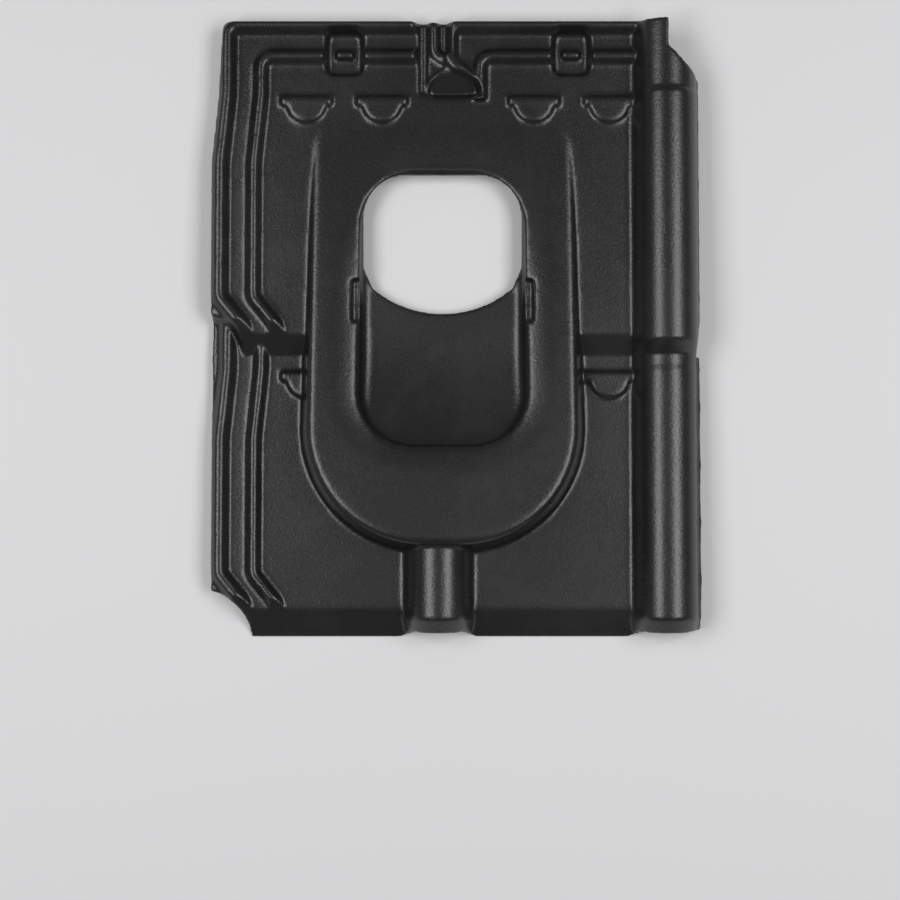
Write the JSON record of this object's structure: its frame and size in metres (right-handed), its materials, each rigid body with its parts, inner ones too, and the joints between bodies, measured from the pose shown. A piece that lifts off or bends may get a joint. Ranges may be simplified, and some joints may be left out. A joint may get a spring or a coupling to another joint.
{
  "type": "roof vent tile",
  "caption": "Moulded base tile for a roof vent: a sheet shaped like interlocking pan tiles, with a raised oval dome, a sunk well and an opening that passes a vent pipe",
  "frame": {"origin": "centre of the bounding box in plan, on the plane that the tile lies on", "axes": "X across the roof, Y up the slope toward the ridge, Z out of the face; the tile lies on its two hanging lugs and its lower edge"},
  "size_m": [0.4928, 0.6205, 0.0583],
  "materials": {
    "tile_sheet": "black thermoformed sheet, semi-gloss with a fine grain"
  },
  "bodies": {
    "root": {"vent_tile_plate": "tile_sheet"}
  },
  "joints": []
}
